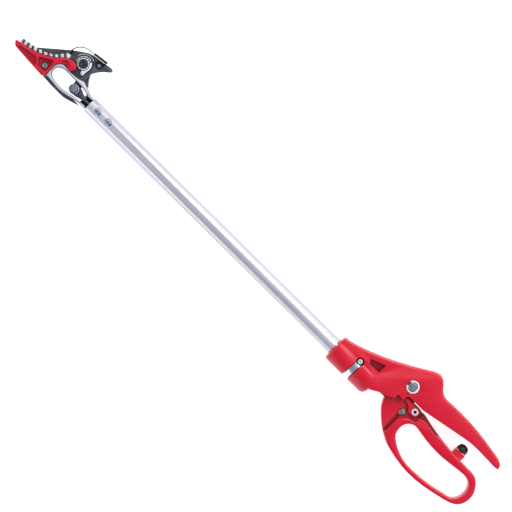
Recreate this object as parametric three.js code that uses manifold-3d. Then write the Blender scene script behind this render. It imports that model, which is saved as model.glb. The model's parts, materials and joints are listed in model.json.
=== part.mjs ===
// Long-reach cut-and-hold pruner: a red handle with a finger-loop lever, a slim aluminium pole and a
// head whose blade, gripper and pad cut a stem and keep hold of it. Millimetres, +Z up.
//
// The tool lies on its side. +X runs along the pole to the head, +Y points from the grip to the finger
// loop, and the lever, rod, blade and gripper all turn about lines parallel to Z. The origin is the
// middle of the flat head of the lever's pivot pin, which is the lowest face of the tool.

import * as THREE from 'three';
import { mergeVertices } from 'three/addons/utils/BufferGeometryUtils.js';
import Module from 'manifold-3d';

const wasm = await Module();
wasm.setup();

// ---------------------------------------------------------------- driving dimensions

const MID = 14; // height of the plane that every lever, rod and blade works in
const GAP = 0.3; // between pieces that touch or slide on each other

const POLE_Y = 24.2; // the pole's axis
const POLE_R = 8;
const POLE_BORE_R = 6.5;
const POLE_START = 38.5;
const POLE_END = 399.5;

const WEB_HALF = 12.2; // half the handle's thickness away from its socket
const SOCKET_R = 13.8;
const SOCKET_END = 77.3;
const CHEEK_GAP_HALF = 6.4; // half the slot that the lever's hub turns in
const HUB_HALF = CHEEK_GAP_HALF - GAP;
const LOOP_HALF = 9.5; // half the width of the finger loop

const PIVOT_PIN_R = 4.2;
const ROD_R = 2.1;
const CRANK = [-9.8, 23.1]; // from either pivot to its rod pin: equal cranks make a parallelogram
const HEAD_PIVOT = [430, 1.2];
const LATCH_PIVOT = [-18, 15.3];

const PLATE_Z = [9.8, 12.4]; // counter plate
const BLADE_Z = [12.7, 15.3]; // moving blade and its crank
const BRACKET_Z = [12.7, 20];
const GRIPPER_Z = [15.6, 17.1];
const TEETH_TOP = 20.8;
const NUT_Z = [17.4, 20.4];
const PAD_Z = [17.6, 22.8];
const BOLT_R = 4.6;

const CLAMP_SCREW = [51.3, 17.8];
const HEAD_SCREWS_X = [375.3, 389.4];
const PAD_SCREW = [454.4, 27.9];
const PLATE_SCREWS = [[451.4, 21.4], [463, 31.4]];
const LEAF_RIVET = [419, -7.7];
const LOCK_SCREW = [424.6, 8.7];
const BUMPER_X = -75.2;

// ---------------------------------------------------------------- materials

const finish = (color, roughness, metalness) => new THREE.MeshStandardMaterial({ color, roughness, metalness });
const RED = finish(0xcf1f3a, 0.3, 0);
const RUBBER = finish(0x18181a, 0.8, 0);
const ALUMINIUM = finish(0xc9c9cf, 0.35, 1);
const CHROME = finish(0xd8dadd, 0.12, 1);
const ZINC = finish(0x9a9c9f, 0.4, 1);
const DARK_STEEL = finish(0x3c4042, 0.45, 1);
const SPRING_STEEL = finish(0x77797c, 0.35, 1);

// ---------------------------------------------------------------- outlines

/** An outline of runs that meet at corners: two points make a straight run, more make a smooth one. */
function curved(...runs) {
  const path = runs.flatMap((run) => {
    const points = run.map(([x, y]) => new THREE.Vector2(x, y));
    const smooth = points.length > 2;
    return smooth ? new THREE.SplineCurve(points).getPoints((points.length - 1) * 2) : points;
  });
  const distinct = path.filter((point, i) => point.distanceTo(path[(i + 1) % path.length]) > 1e-3);
  return new THREE.Shape(distinct);
}

/** A smooth closed outline through its points. */
function closedCurve(points) {
  const loop = new THREE.CatmullRomCurve3(points.map(([x, y]) => new THREE.Vector3(x, y, 0)), true);
  return loop.getPoints(points.length * 2).slice(1).map((p) => new THREE.Vector2(p.x, p.y));
}

/** A straight-sided outline whose points are [x, y, corner radius]. */
function polygon(points) {
  const shape = new THREE.Shape();
  points.forEach(([x, y, radius = 0], i) => {
    const corner = new THREE.Vector2(x, y);
    const towards = (j) => new THREE.Vector2(...points.at(j % points.length).slice(0, 2)).sub(corner).setLength(radius);
    const enter = corner.clone().add(towards(i - 1));
    const leave = corner.clone().add(towards(i + 1));
    if (i === 0) shape.moveTo(enter.x, enter.y);
    else shape.lineTo(enter.x, enter.y);
    if (radius > 0) shape.quadraticCurveTo(corner.x, corner.y, leave.x, leave.y);
  });
  return shape;
}

const rectangle = (x0, x1, y0, y1, r = 0) => polygon([[x0, y0, r], [x1, y0, r], [x1, y1, r], [x0, y1, r]]);

// ---------------------------------------------------------------- solids

/** The outline raised from z0 to z1, with an optional bevel kept inside it. */
function prism(shape, z0, z1, bevel = 0, bevelSegments = 2, curveSegments = 5) {
  const geometry = new THREE.ExtrudeGeometry(shape, {
    depth: z1 - z0 - 2 * bevel,
    bevelEnabled: bevel > 0,
    bevelThickness: bevel,
    bevelSize: bevel,
    bevelOffset: -bevel,
    bevelSegments,
    curveSegments,
  });
  return solid(geometry.translate(0, 0, z0 + bevel));
}

/** The same without a bevel, with its outline moved outwards. */
function grown(shape, z0, z1, by) {
  const settings = { depth: z1 - z0, bevelEnabled: true, bevelThickness: 0, bevelSize: 0, bevelOffset: by };
  const geometry = new THREE.ExtrudeGeometry(shape, { ...settings, bevelSegments: 1, curveSegments: 5 });
  return solid(geometry.translate(0, 0, z0));
}

/** An outline in the Y-Z plane, drawn as [y, z], run along X from x0 to x1. */
function prismX(shape, x0, x1, curveSegments = 22) {
  const geometry = new THREE.ExtrudeGeometry(shape, { depth: x1 - x0, bevelEnabled: false, curveSegments });
  const [X, Y, Z] = [new THREE.Vector3(1, 0, 0), new THREE.Vector3(0, 1, 0), new THREE.Vector3(0, 0, 1)];
  geometry.applyMatrix4(new THREE.Matrix4().makeBasis(Y, Z, X));
  return solid(geometry.translate(x0, 0, 0));
}

/** A profile of [radius, height] points turned about a line through [x, y] parallel to Z. */
function turned(profile, [x, y], segments = 28) {
  const geometry = new THREE.LatheGeometry(profile.map(([r, h]) => new THREE.Vector2(r, h)), segments);
  return solid(geometry.rotateX(Math.PI / 2).translate(x, y, 0));
}

/** The same, turned about a line parallel to X through y and z; heights are X positions. */
function turnedX(profile, y, z, segments = 40) {
  const geometry = new THREE.LatheGeometry(profile.map(([r, h]) => new THREE.Vector2(r, h)), segments);
  return solid(geometry.rotateZ(-Math.PI / 2).translate(0, y, z));
}

const disc = (r, z0, z1, centre, segments = 28) => turned([[0, z0], [r, z0], [r, z1], [0, z1]], centre, segments);
const rodX = (r, x0, x1, y, z, segments = 20) => turnedX([[0, x0], [r, x0], [r, x1], [0, x1]], y, z, segments);

/** A box between two corners. */
function box([x0, y0, z0], [x1, y1, z1]) {
  const geometry = new THREE.BoxGeometry(x1 - x0, y1 - y0, z1 - z0);
  return solid(geometry.translate((x0 + x1) / 2, (y0 + y1) / 2, (z0 + z1) / 2));
}

/** Makes a closed geometry into a solid that can be joined and cut. */
function solid(geometry) {
  const bare = geometry.clone();
  bare.deleteAttribute('normal');
  bare.deleteAttribute('uv');
  const welded = mergeVertices(bare, 1e-4);
  const vertices = welded.attributes.position.array;
  const corner = (i) => new THREE.Vector3().fromArray(vertices, 3 * i);
  const triangles = [];
  let volume = 0;
  for (let i = 0; i < welded.index.count; i += 3) {
    const [a, b, c] = [0, 1, 2].map((k) => welded.index.getX(i + k));
    if (a === b || b === c || c === a) continue;
    triangles.push([a, b, c]);
    volume += corner(a).dot(corner(b).cross(corner(c)));
  }
  const outward = volume < 0 ? triangles.map(([a, b, c]) => [a, c, b]) : triangles;
  return new wasm.Manifold(new wasm.Mesh({
    numProp: 3,
    vertProperties: new Float32Array(vertices),
    triVerts: new Uint32Array(outward.flat()),
  }));
}

const joined = (...solids) => solids.reduce((sum, one) => sum.add(one));
const cut = (body, ...tools) => tools.reduce((rest, tool) => rest.subtract(tool), body);

/** A named mesh of a solid. */
function piece(name, body, material) {
  const { vertProperties, triVerts } = body.getMesh();
  const geometry = new THREE.BufferGeometry();
  geometry.setAttribute('position', new THREE.BufferAttribute(new Float32Array(vertProperties), 3));
  geometry.setIndex(new THREE.BufferAttribute(new Uint32Array(triVerts), 1));
  geometry.computeVertexNormals();
  const mesh = new THREE.Mesh(geometry, material);
  mesh.name = name;
  return mesh;
}

/** A pan-head screw along Z with a cross recess. side is 1 for a head that faces up, -1 for down. */
function crossScrew([x, y], seat, side, headR, headHeight, shankR, shankLength) {
  const top = seat + side * headHeight;
  const body = turned([
    [0, seat - side * shankLength],
    [shankR, seat - side * shankLength],
    [shankR, seat],
    [headR, seat],
    [headR, seat + side * headHeight * 0.45],
    [headR * 0.72, top],
    [0, top],
  ], [x, y], 16);
  const [low, high] = [top - side * headHeight * 0.6, top + side].sort((a, b) => a - b);
  const [long, wide] = [headR * 0.62, headR * 0.17];
  const recess = joined(
    box([x - long, y - wide, low], [x + long, y + wide, high]),
    box([x - wide, y - long, low], [x + wide, y + long, high]),
  );
  return cut(body, recess);
}

// ---------------------------------------------------------------- handle

/** The top edge of the handle, from the socket back over the hump to the heel. */
const HANDLE_TOP = [
  [[SOCKET_END, 15.5], [76.4, 12.6], [74, 11.1]],
  [[74, 11.1], [60, 7.3], [40, -0.4], [20, -10], [5, -18.4], [-4, -24]],
  [[-4, -24], [-10.5, -26.6], [-16.8, -24.2], [-21.5, -19], [-26.5, -15], [-32, -14.1]],
  [[-32, -14.1], [-50, -14.5], [-70, -13.6], [-90, -10.9], [-104, -8.4]],
];
const HANDLE_HEEL = [[-104, -8.4], [-108.4, -6.2], [-110.8, -3], [-110.6, -0.9], [-107.5, -0.2]];
const HANDLE_UNDERSIDE = [
  [[-107.5, -0.2], [-90, -1], [-75, -0.6], [-60, 2], [-45, 4.8], [-30, 7.5], [-22, 8.9]],
  [[-22, 8.9], [-4, 8.9]],
  [[-2.6, 9.8], [-2.6, 14.7]],
  [[4.7, 14.7], [4.9, 19.3]],
  [[4.9, 19.3], [12, 23], [18, 24.9], [26.5, 29.6]],
  [[34, 31], [SOCKET_END, 31]],
];

function handleBody() {
  const [low, high] = [MID - WEB_HALF, MID + WEB_HALF];
  const web = prism(curved(...HANDLE_TOP, HANDLE_HEEL, ...HANDLE_UNDERSIDE), low, high);
  // The broad bevel is only on the top edge, so it comes from a second prism that ends far below.
  const beyond = [[-111.5, 12], [-111.5, 70], [SOCKET_END, 70]];
  const heelRound = [[-104, -8.4], [-108.4, -6.2], [-110.8, -2], [-111.5, 12]];
  const tops = prism(curved(...HANDLE_TOP, heelRound, ...[beyond.slice(0, 2), beyond.slice(1)]), low, high, 2.4);
  const socket = turnedX([
    [0, 26.8], [5.5, 26.8], [9.5, 27.8], [12.4, 29.4], [SOCKET_R, 32.4],
    [SOCKET_R, SOCKET_END - 2.2], [13.2, SOCKET_END - 0.7], [11.6, SOCKET_END], [0, SOCKET_END],
  ], POLE_Y, MID);
  const fairing = turnedX([[0, 15], [11.2, 15], [SOCKET_R, 33.5], [0, 33.5]], POLE_Y, MID);
  const block = prism(curved(...HANDLE_TOP, HANDLE_HEEL, ...HANDLE_UNDERSIDE), MID - 20, MID + 20);
  const body = joined(web.intersect(tops), socket, fairing.intersect(block));
  return cut(body, leverSlot(), latchRelief(), ...socketHoles(), ...handlePockets(), ...clampSeat(), springSeat());
}

/** The slot between the cheeks that the lever's hub and lobe swing in. */
function leverSlot() {
  const [low, high] = [MID - CHEEK_GAP_HALF, MID + CHEEK_GAP_HALF];
  const swept = polygon([
    [-10, -2.6], [-14.5, 8], [-29, 8], [-29, 22], [-5, 46], [24.5, 46], [24.5, 14.4, 3], [9.2, -6],
  ]);
  return joined(disc(10.3, low, high, [0, 0]), prism(swept, low, high));
}

/** Room inside the front cheek for the latch to pass as the lever opens. */
function latchRelief() {
  const [low, high] = [MID + CHEEK_GAP_HALF - 0.1, MID + 9.7];
  const ring = turned([[9.3, low], [21.5, low], [21.5, high], [9.3, high], [9.3, low]], [0, 0], 40);
  return ring.intersect(box([-6, 5, low - 1], [16, 30, high + 1]));
}

/** The socket's bore, the rod's way through behind it and the pivot hole. */
function socketHoles() {
  return [
    rodX(POLE_R + 0.1, POLE_START - GAP, SOCKET_END + 1, POLE_Y, MID, 40),
    rodX(4.4, 20, POLE_START + 1, POLE_Y, MID),
    disc(PIVOT_PIN_R + 0.1, -1, 30, [0, 0]),
  ];
}

/** Weight-saving pockets in the web, one from each side. */
function handlePockets() {
  const pocket = polygon([[46.8, 9, 1.2], [31.7, 3.3, 1.2], [31.9, 12.7, 1], [43.2, 12.9, 1.5]]);
  return [prism(pocket, MID + 3, MID + 20), prism(pocket, MID - 20, MID - 3)];
}

/** The groove for the clamp band and the pockets for its screws. */
function clampSeat() {
  const [x0, x1] = [48, 54.9];
  const ring = turnedX([[10, x0], [22, x0], [22, x1], [10, x1], [10, x0]], POLE_Y, MID);
  const groove = ring.intersect(box([x0 - 1, CLAMP_SCREW[1] - 0.1, -20], [x1 + 1, 60, 50]));
  const pockets = [-1, 1].flatMap((side) => {
    const heights = (a, b) => [MID + side * a, MID + side * b].sort((p, q) => p - q);
    return [disc(3.9, ...heights(9.6, 20), CLAMP_SCREW), disc(1.6, ...heights(6.4, 10), CLAMP_SCREW, 16)];
  });
  return [groove, ...pockets];
}

/** The notch in the slot's wall that holds the return spring's fixed leg. */
function springSeat() {
  return box([-13.5, -6.8, 15.2], [-6, -4, 17.6]);
}

/** The steel strap that squeezes the socket onto the pole, with an ear under each screw. */
function clampBand() {
  const [inner, outer] = [10.4, 11.3];
  const [x0, x1] = [48.5, 54.4];
  const start = THREE.MathUtils.degToRad(105);
  const strap = new THREE.Shape();
  strap.absarc(POLE_Y, MID, outer, start, -start, true);
  strap.absarc(POLE_Y, MID, inner, -start, start, false);
  const ears = [-1, 1].map((side) => {
    const [low, high] = [MID + side * 9.9, MID + side * 10.8].sort((a, b) => a - b);
    return joined(disc(2.95, low, high, CLAMP_SCREW, 24), box([x0, CLAMP_SCREW[1], low], [x1, 21.8, high]));
  });
  const holes = disc(1.65, 0, 2 * MID, CLAMP_SCREW, 16);
  return cut(joined(prismX(strap, x0, x1), ...ears), holes);
}

const clampScrew = (side) => crossScrew(CLAMP_SCREW, MID + side * 11, side, 2.5, 1.6, 1.35, 4.2);

function pivotPin() {
  return turned([
    [0, 0], [6.5, 0], [6.5, 1.5], [PIVOT_PIN_R, 1.5], [PIVOT_PIN_R, 26.4], [3.3, 26.4], [3.3, 27.4],
    [PIVOT_PIN_R, 27.4], [PIVOT_PIN_R, 27.8], [PIVOT_PIN_R - 0.4, 28.1], [0, 28.1],
  ], [0, 0], 36);
}

/** The retaining clip in the pin's groove: an open ring with three inner lugs. */
function eClip() {
  const [outer, hollow, seat] = [6.2, 4.7, 3.5];
  const mouth = 0.42;
  const shape = new THREE.Shape();
  shape.absarc(0, 0, outer, mouth, -mouth, false);
  const lugs = [
    [-mouth, -0.9, seat], [-1.1, -2.6, hollow], [-2.8, -3.5, seat], [-3.7, -5.2, hollow], [-5.4, -5.86, seat],
  ];
  lugs.forEach(([from, to, r]) => shape.absarc(0, 0, r, from, to, true));
  return prism(shape, 26.55, 27.3, 0, 0, 7);
}

const LEG_SPREAD = 64; // leg length over its share of the path

/** The return spring's path: a fixed leg, three turns round the pin and a leg that pushes the lever. */
class SpringPath extends THREE.Curve {
  getPoint(t, target = new THREE.Vector3()) {
    const [coilR, low, high, leg] = [5.35, 16.3, 19.15, 0.14];
    const [begin, turns] = [Math.PI * 1.5, 3.25];
    const along = THREE.MathUtils.clamp((t - leg) / (1 - 2 * leg), 0, 1);
    const angle = begin + along * turns * 2 * Math.PI;
    const straight = (t < leg ? t - leg : Math.max(0, t - 1 + leg)) * LEG_SPREAD;
    target.set(coilR * Math.cos(angle), coilR * Math.sin(angle), low + along * (high - low));
    target.x -= straight * Math.sin(angle);
    target.y += straight * Math.cos(angle);
    return target;
  }
}

function returnSpring() {
  const wire = new THREE.Shape();
  wire.absarc(0, 0, 0.62, 0, 2 * Math.PI);
  const settings = { extrudePath: new SpringPath(), steps: 64, bevelEnabled: false, curveSegments: 3 };
  return solid(new THREE.ExtrudeGeometry(wire, settings));
}

// ---------------------------------------------------------------- lever

const LOOP_OUTSIDE = [
  [
    [-10.4, 49.2], [-20, 54.4], [-30, 57.3], [-45, 60], [-60, 60.3], [-75, 58.6], [-90, 55.5],
    [-99, 53.2], [-105.5, 50], [-109.3, 45.5], [-111.2, 40], [-111.2, 33], [-108.5, 26.6], [-104, 21.4],
    [-99, 18.6], [-93, 18],
  ],
  [[-93, 18], [-69, 17.4], [-50, 15.2], [-40, 13.5], [-30, 11.3]],
  [[-24.8, 10.3], [-24.8, 21.4]],
  [[-17.4, 23.8], [-13.5, 27.6]],
  [[-10.4, 31], [-10.4, 49.2]],
];
const LOOP_INSIDE = [
  [-28, 24.2], [-23.3, 26], [-19.6, 30], [-18.4, 36], [-20, 42.5], [-25.5, 47.6], [-33, 51.6], [-42, 54.7],
  [-55, 55.7], [-75, 54], [-92, 50.6], [-99, 48.6], [-103, 44], [-104.8, 37], [-102.8, 30], [-98.5, 25.9],
  [-92, 24.8], [-80, 26], [-65, 27.6], [-50, 27.3], [-38, 25.6],
];
const LOBE_EDGE = [[11.9, 24.4], [10, 29], [7, 33.8], [3, 38.2], [-5, 45.5], [-11, 49.5], [-14, 51.2]];

function lever() {
  const loopShape = curved(...LOOP_OUTSIDE);
  loopShape.holes.push(new THREE.Path(closedCurve(LOOP_INSIDE)));
  const loop = prism(loopShape, MID - LOOP_HALF, MID + LOOP_HALF, 1.6);
  const hubOutline = curved(
    [[9.3, -1], [11.9, 24.4]],
    LOBE_EDGE,
    [[-14, 51.2], [-15.5, 45]],
    [[-14.5, 32], [-19, 25]],
    [[-27.4, 21], [-27.4, 12.2]],
    [[-27.4, 12.2], [-20, 10], [-12, 9.8]],
    [[-12, 9.8], [-9.3, -1]],
  );
  const [low, high] = [MID - HUB_HALF, MID + HUB_HALF];
  const post = prism(rectangle(BUMPER_X - 5.6, BUMPER_X + 5.6, 12, 20, 0.8), MID - 5.6, MID + 5.6);
  const body = joined(loop, disc(9.4, low, high, [0, 0]), prism(hubOutline, low, high), post);
  return cut(body, ...leverHoles(), rodSlot(), ...leverGrooves());
}

function leverHoles() {
  const springPocket = joined(
    disc(6.9, 15.2, 22, [0, 0]),
    box([-12, -12, 15.2], [12, 0, 22]),
    prism(polygon([[4, -2], [7.6, -2], [7.6, 11.5, 0.8], [4, 11.5, 0.8]]), 17.9, 22),
  );
  const bumperHole = solid(new THREE.CylinderGeometry(2.2, 2.2, 5, 20).translate(BUMPER_X, 14, MID));
  return [
    disc(PIVOT_PIN_R + 0.15, 0, 30, [0, 0]),
    springPocket,
    disc(2.2, 0, 30, CRANK, 24),
    disc(1.7, 8, 30, LATCH_PIVOT, 20),
    bumperHole,
  ];
}

/** The slot in the lobe for the rod's eye, open towards the pole over the lever's whole swing. */
function rodSlot() {
  const [x, y] = CRANK;
  const [low, high] = [MID - 2.3, MID + 2.3];
  const fan = polygon([[x, y - 5.4], [x + 28, y - 3.4], [x + 28, y + 19.5], [x - 2.7, y + 4.7]]);
  return joined(disc(5.4, low, high, CRANK, 24), prism(fan, low, high));
}

/** The moulded groove down the lobe and the stepped edge of the arm, the same on both faces. */
function leverGrooves() {
  const groove = polygon([[-10.6, 27.6], [-6.8, 27.6], [-7.9, 48, 0.6], [-10.4, 50]]);
  const step = polygon([
    [-23, 8], [-26, 17, 0.6], [-28.5, 15.6, 1.5], [-33, 15], [-39, 16], [-46, 17.2, 0.8], [-50.5, 15.6], [-46, 11],
  ]);
  return [-1, 1].flatMap((side) => {
    const cutFrom = (depth) => [MID + side * depth, MID + side * 12].sort((a, b) => a - b);
    return [prism(groove, ...cutFrom(4)), prism(step, ...cutFrom(LOOP_HALF - 1.8))];
  });
}

function bumperCap() {
  const profile = [[0, 4.2], [2.6, 4.6], [4.5, 5.9], [5.5, 8.2], [5.7, 11.7], [2, 11.7], [2, 15.5], [0, 15.5]];
  const geometry = new THREE.LatheGeometry(profile.map(([r, y]) => new THREE.Vector2(r, y)), 28);
  return solid(geometry.translate(BUMPER_X, 0, MID));
}

/** A rivet with a low domed head on each side. */
function rivet(centre, z0, z1, headR, headHeight, shankR) {
  return turned([
    [0, z0 - headHeight], [headR * 0.7, z0 - headHeight], [headR, z0 - headHeight * 0.3], [headR, z0],
    [shankR, z0], [shankR, z1], [headR, z1], [headR, z1 + headHeight * 0.3], [headR * 0.7, z1 + headHeight],
    [0, z1 + headHeight],
  ], centre, 18);
}

const rodPin = () => rivet(CRANK, MID - HUB_HALF - 0.1, MID + HUB_HALF + 0.1, 3.6, 1.5, 1.95);

function latch() {
  const outline = polygon([
    [-3.2, 10.2, 1], [-3.5, 13.8, 1], [-9.5, 15.2, 2.5], [-14, 20.3, 2.2], [-21.5, 20, 3], [-23.2, 12.6, 2.6],
    [-19, 10.2, 2],
  ]);
  return cut(prism(outline, 20.4, 23.2, 0.4, 1), disc(2.15, 19, 25, LATCH_PIVOT, 20));
}

/** The latch's shoulder screw: a flanged head with a deep cross recess. */
const latchScrew = () => joined(
  crossScrew(LATCH_PIVOT, 23.5, 1, 3.3, 1.9, 1.9, 3.1),
  disc(1.5, 12, 20.8, LATCH_PIVOT, 20),
);

// ---------------------------------------------------------------- pull rod, drawn from its rear eye along +X

const ROD_LENGTH = HEAD_PIVOT[0];
const COUPLER_AT = 346;

function pullRod() {
  const eye = disc(4.6, MID - 1.9, MID + 1.9, [0, 0], 28);
  const taper = polygon([[0, -3.4], [6, -2.6], [10, -ROD_R], [10, ROD_R], [6, 2.6], [0, 3.4]]);
  const neck = prism(taper, MID - 1.9, MID + 1.9);
  const rod = rodX(ROD_R, 6, COUPLER_AT - 0.3, 0, MID, 20);
  return cut(joined(eye, neck, rod), disc(2.2, 0, 30, [0, 0], 24));
}

/** The hexagonal sleeve that joins the two halves of the rod and sets how far the jaws close. */
function rodCoupler() {
  const [start, end] = [COUPLER_AT - 9, COUPLER_AT + 9];
  const hex = rodX(3.9, start, end, 0, MID, 6);
  return cut(hex, rodX(ROD_R + 0.15, start - 1, end + 1, 0, MID, 20));
}

function linkFork() {
  const [reach, eyeR] = [ROD_LENGTH, 4.9];
  const flare = curved(
    [[reach - 14.2, -ROD_R], [reach - 9.5, -2.9], [reach - 5, -5], [reach, -eyeR]],
    [[reach, -eyeR], [reach + 3.5, -3.4], [reach + eyeR, 0], [reach + 3.5, 3.4], [reach, eyeR - 0.9]],
    [[reach, eyeR - 0.9], [reach - 5, 4], [reach - 9.5, 2.7], [reach - 14.2, ROD_R]],
  );
  const block = prism(flare, MID - 3.4, MID + 3.4);
  const gapHalf = 1.6;
  const mouth = box([reach - 8.2, -9, MID - gapHalf], [reach + 9, 9, MID + gapHalf]);
  const shank = rodX(ROD_R, COUPLER_AT + 0.3, reach - 11, 0, MID, 20);
  return cut(joined(block, shank), mouth, disc(2.15, 0, 30, [reach, 0], 24));
}

/** The link's hexagon-head bolt, head to the front. */
function linkBolt() {
  const top = MID + 3.5;
  return joined(
    disc(1.95, MID - 6.6, top + 0.5, [ROD_LENGTH, 0], 20),
    disc(3.9, top, top + 2.4, [ROD_LENGTH, 0], 6),
    disc(2.9, top + 2, top + 2.8, [ROD_LENGTH, 0], 20),
  );
}

function linkNut() {
  const seat = MID - 3.5;
  return cut(disc(3.7, seat - 2.6, seat, [ROD_LENGTH, 0], 6), disc(2.1, 0, 30, [ROD_LENGTH, 0], 20));
}

// ---------------------------------------------------------------- pole

function pole() {
  const tube = turnedX([
    [POLE_BORE_R, POLE_START], [POLE_R, POLE_START], [POLE_R, POLE_END], [POLE_BORE_R, POLE_END],
    [POLE_BORE_R, POLE_START],
  ], POLE_Y, MID);
  return cut(tube, ...HEAD_SCREWS_X.map((x) => disc(1.75, MID, 30, [x, POLE_Y], 20)));
}

const headScrew = (x) => crossScrew([x, POLE_Y], MID + POLE_R + 0.1, 1, 2.4, 1.5, 1.5, 2.6);

// ---------------------------------------------------------------- head, fixed side

const BRACKET_OUTSIDE = [
  [[400.2, 18.3], [405, 17.3], [411, 14.9], [417.5, 12.4], [421, 13.3], [425.5, 14.5], [431, 14.9], [438, 14.3]],
  [[438, 14.3], [444, 14.2], [449, 17.6], [452.5, 24]],
  [[453.5, 34], [446, 33.5], [438, 34.1], [430, 34.8], [420, 33.3], [411, 31], [405, 30.2], [400.2, 30]],
];
const BRACKET_INSIDE = [
  [446.3, 24], [445.6, 27], [443, 29.8], [437.5, 31.3], [430, 31.9], [424, 31.2], [417.5, 29.7], [411, 28.7],
  [406, 28.2], [403.6, 24.2], [406, 20.2], [411, 18.6], [416, 17.7], [424, 17.4], [433, 17.3], [439, 17.4],
  [443, 18.9], [445.6, 21.3],
];
/** The blade's cutting edge when shut, from its heel to its tip. */
const CUT_LINE = [[442, 8.5], [446, 10.6], [450, 14], [458, 20.2], [468, 25], [478, 27.9], [487, 29.2]];
const beside = (line, offset) => line.map(([x, y]) => [x, y + offset]);

function headBracket() {
  const frameShape = curved(...BRACKET_OUTSIDE);
  frameShape.holes.push(new THREE.Path(closedCurve(BRACKET_INSIDE)));
  const frame = prism(frameShape, ...BRACKET_Z, 0.9, 3);
  const jawTop = beside(CUT_LINE.slice(2), 0.9);
  const jawShape = curved(
    jawTop,
    [[487, 30.1], [488.4, 31.2], [485, 32.9]],
    [[485, 32.9], [470, 34.1], [452, 35.1], [447, 34]],
    [[447, 34], [448.4, 24], [447.4, 17.4]],
  );
  const jaw = prism(jawShape, BRACKET_Z[0], PAD_Z[0] - GAP);
  const [stemStart, stemEnd] = [366, 408.5];
  const stem = turnedX([
    [0, stemStart], [5.6, stemStart], [6.2, stemStart + 1], [6.2, stemEnd - 5], [5.4, stemEnd], [0, stemEnd],
  ], POLE_Y, MID, 40);
  return cut(joined(frame, jaw, stem), ...bracketCuts(stemStart));
}

function bracketCuts(stemStart) {
  const [x, y] = PAD_SCREW;
  const rodBore = rodX(4.7, stemStart - 1, 420, POLE_Y, MID, 32);
  const window = box([POLE_END + 0.4, POLE_Y - 4.3, MID], [414, POLE_Y + 4.3, 40]);
  const crankNotch = box([415.5, 8, 10], [438.8, 18.5, BLADE_Z[1] + 0.4]);
  const heel = prism(polygon([[436, 2], [452, 12.8], [449, 17.4], [436, 16]]), 10, BLADE_Z[1] + 0.4);
  return [
    rodBore,
    window,
    crankNotch,
    heel,
    grown(padOutline(), PAD_Z[0] - GAP, 30, GAP),
    disc(2.15, 0, 40, [x, y], 20),
    ...PLATE_SCREWS.map((at) => disc(1.7, 0, BRACKET_Z[0] + 3.6, at, 16)),
    ...HEAD_SCREWS_X.map((at) => disc(1.6, MID, 30, [at, POLE_Y], 16)),
  ];
}

/** The dark plate behind the bracket: hub, spike, counter edge, hooked tip and keel in one piece. */
function counterPlate() {
  const edge = beside(CUT_LINE, -1.8);
  const outline = curved(
    [[411.6, 14.1], [415.4, 10], [418, 6], [419.2, 3]],
    [[419.2, 3], [424, -8], [436, -8]],
    [[441, 2.5], edge[0]],
    edge,
    [[487, 27.4], [490.2, 29.8], [489.4, 32], [486, 33.7]],
    [[486, 33.7], [470, 34.9], [450, 35.9], [438, 36.7], [422.5, 36.7]],
    [[422.5, 36.7], [415.4, 34.8], [405.9, 31.8]],
    [[405.9, 31.8], [412, 31.6], [418, 32.2], [424, 33.4], [431, 33.9], [438, 33.2], [444, 31.3], [447.4, 28],
      [448, 24], [447.2, 20.5], [444.4, 17.3], [438.5, 16], [430, 16], [423, 15.6], [417.5, 14.1], [411.6, 14.1]],
  );
  return cut(
    joined(prism(outline, ...PLATE_Z), disc(11.2, ...PLATE_Z, HEAD_PIVOT, 40)),
    disc(BOLT_R + 0.15, 0, 30, HEAD_PIVOT),
    disc(2.15, 0, 30, PAD_SCREW, 20),
    ...PLATE_SCREWS.map((at) => disc(1.7, 0, 30, at, 16)),
  );
}

const plateScrew = (at) => crossScrew(at, PLATE_Z[0] - 0.1, -1, 2.6, 1.3, 1.4, 5.4);

const PAD_TOP = [
  [488, 28.2], [483, 27.5], [478, 26.9], [473, 25.7], [468, 24], [463, 21.9], [458, 19.2],
  [453, 15.8], [449.2, 12.3], [446, 9.5], [443, 7.6], [439.5, 6.4], [435.2, 6.4], [432.2, 8.4], [431.7, 11.6],
  [434, 15.2],
];

const padOutline = () => curved(
  [[490.9, 29.5], PAD_TOP[0]],
  PAD_TOP,
  [[434, 15.2], [437, 14.4], [440, 13.3], [444, 14.7], [447.4, 17.8], [448.4, 21]],
  [[448.4, 21], [448.4, 34.4]],
  [[450, 36.3], [470, 35.2], [486, 34.1]],
  [[488.4, 32.8], [490.9, 29.5]],
);

/** The red jaw pad: a raised rim over recessed pockets, with an arm that reaches back over the hub. */
function jawPad() {
  const [low, high] = PAD_Z;
  const front = polygon([
    [483.5, 30.3, 0.5], [484.5, 33, 0.5], [462, 34.3, 0.5], [461, 32.2, 0.5], [466.4, 27.4, 1],
  ]);
  const back = polygon([
    [464.2, 25.8, 0.6], [459.4, 32, 0.6], [450.2, 31.6, 0.8], [450.2, 21.6, 1.5], [452.6, 18.9, 1],
  ]);
  const armPocket = polygon([
    [446.6, 14.4, 0.8], [441.2, 11.6, 0.8], [436.4, 12.4, 0.8], [441, 10, 0.8], [444, 10.4, 0.8],
  ]);
  return cut(
    prism(padOutline(), low, high, 0.7),
    prism(front, high - 1, high + 1),
    prism(back, high - 1.8, high + 1),
    prism(armPocket, high - 1.2, high + 1),
    disc(2.2, 0, 40, PAD_SCREW, 24),
  );
}

const PAD_SCREW_SEAT = PAD_Z[1] - 1.7;
const padScrew = () => crossScrew(PAD_SCREW, PAD_SCREW_SEAT, 1, 3, 1.6, 1.9, PAD_SCREW_SEAT - 6.4);
const padNut = () => cut(disc(4, 6.9, PLATE_Z[0] - 0.1, PAD_SCREW, 6), disc(2.1, 0, 30, PAD_SCREW, 20));

// ---------------------------------------------------------------- head, moving side

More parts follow.
